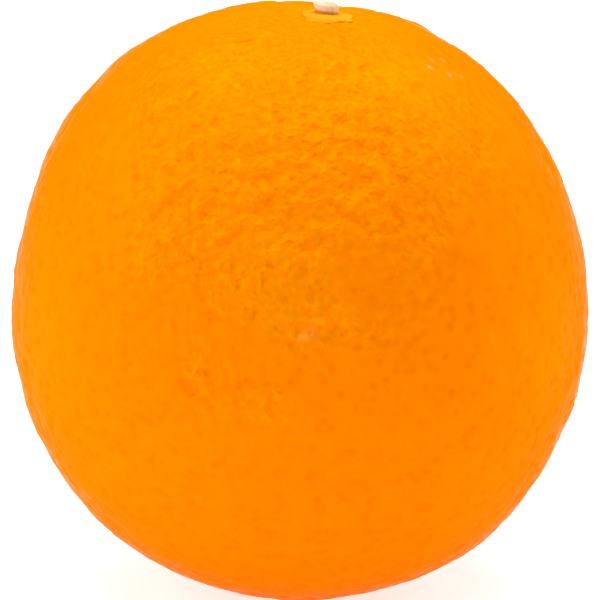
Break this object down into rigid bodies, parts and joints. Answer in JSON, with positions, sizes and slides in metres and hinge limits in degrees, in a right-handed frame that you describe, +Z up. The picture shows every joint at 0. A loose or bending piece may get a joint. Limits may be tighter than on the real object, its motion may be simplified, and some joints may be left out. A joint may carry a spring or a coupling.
{
  "type": "orange",
  "caption": "Whole round orange with a dimpled peel, a dried calyx and a cut stem stub, resting upright on a small flat spot.",
  "frame": {"origin": "middle of the small flat spot that the fruit rests on", "axes": "+Z up from the resting surface; the stem end is at the top and leans about 5 degrees towards +X; the pictured side faces -Y"},
  "size_m": [0.0788, 0.0787, 0.0819],
  "materials": {
    "peel": "satin",
    "calyx": "matte",
    "stem": "matte"
  },
  "bodies": {
    "root": {"fruit": "peel", "calyx": "calyx", "stem_stub": "stem"}
  },
  "joints": []
}
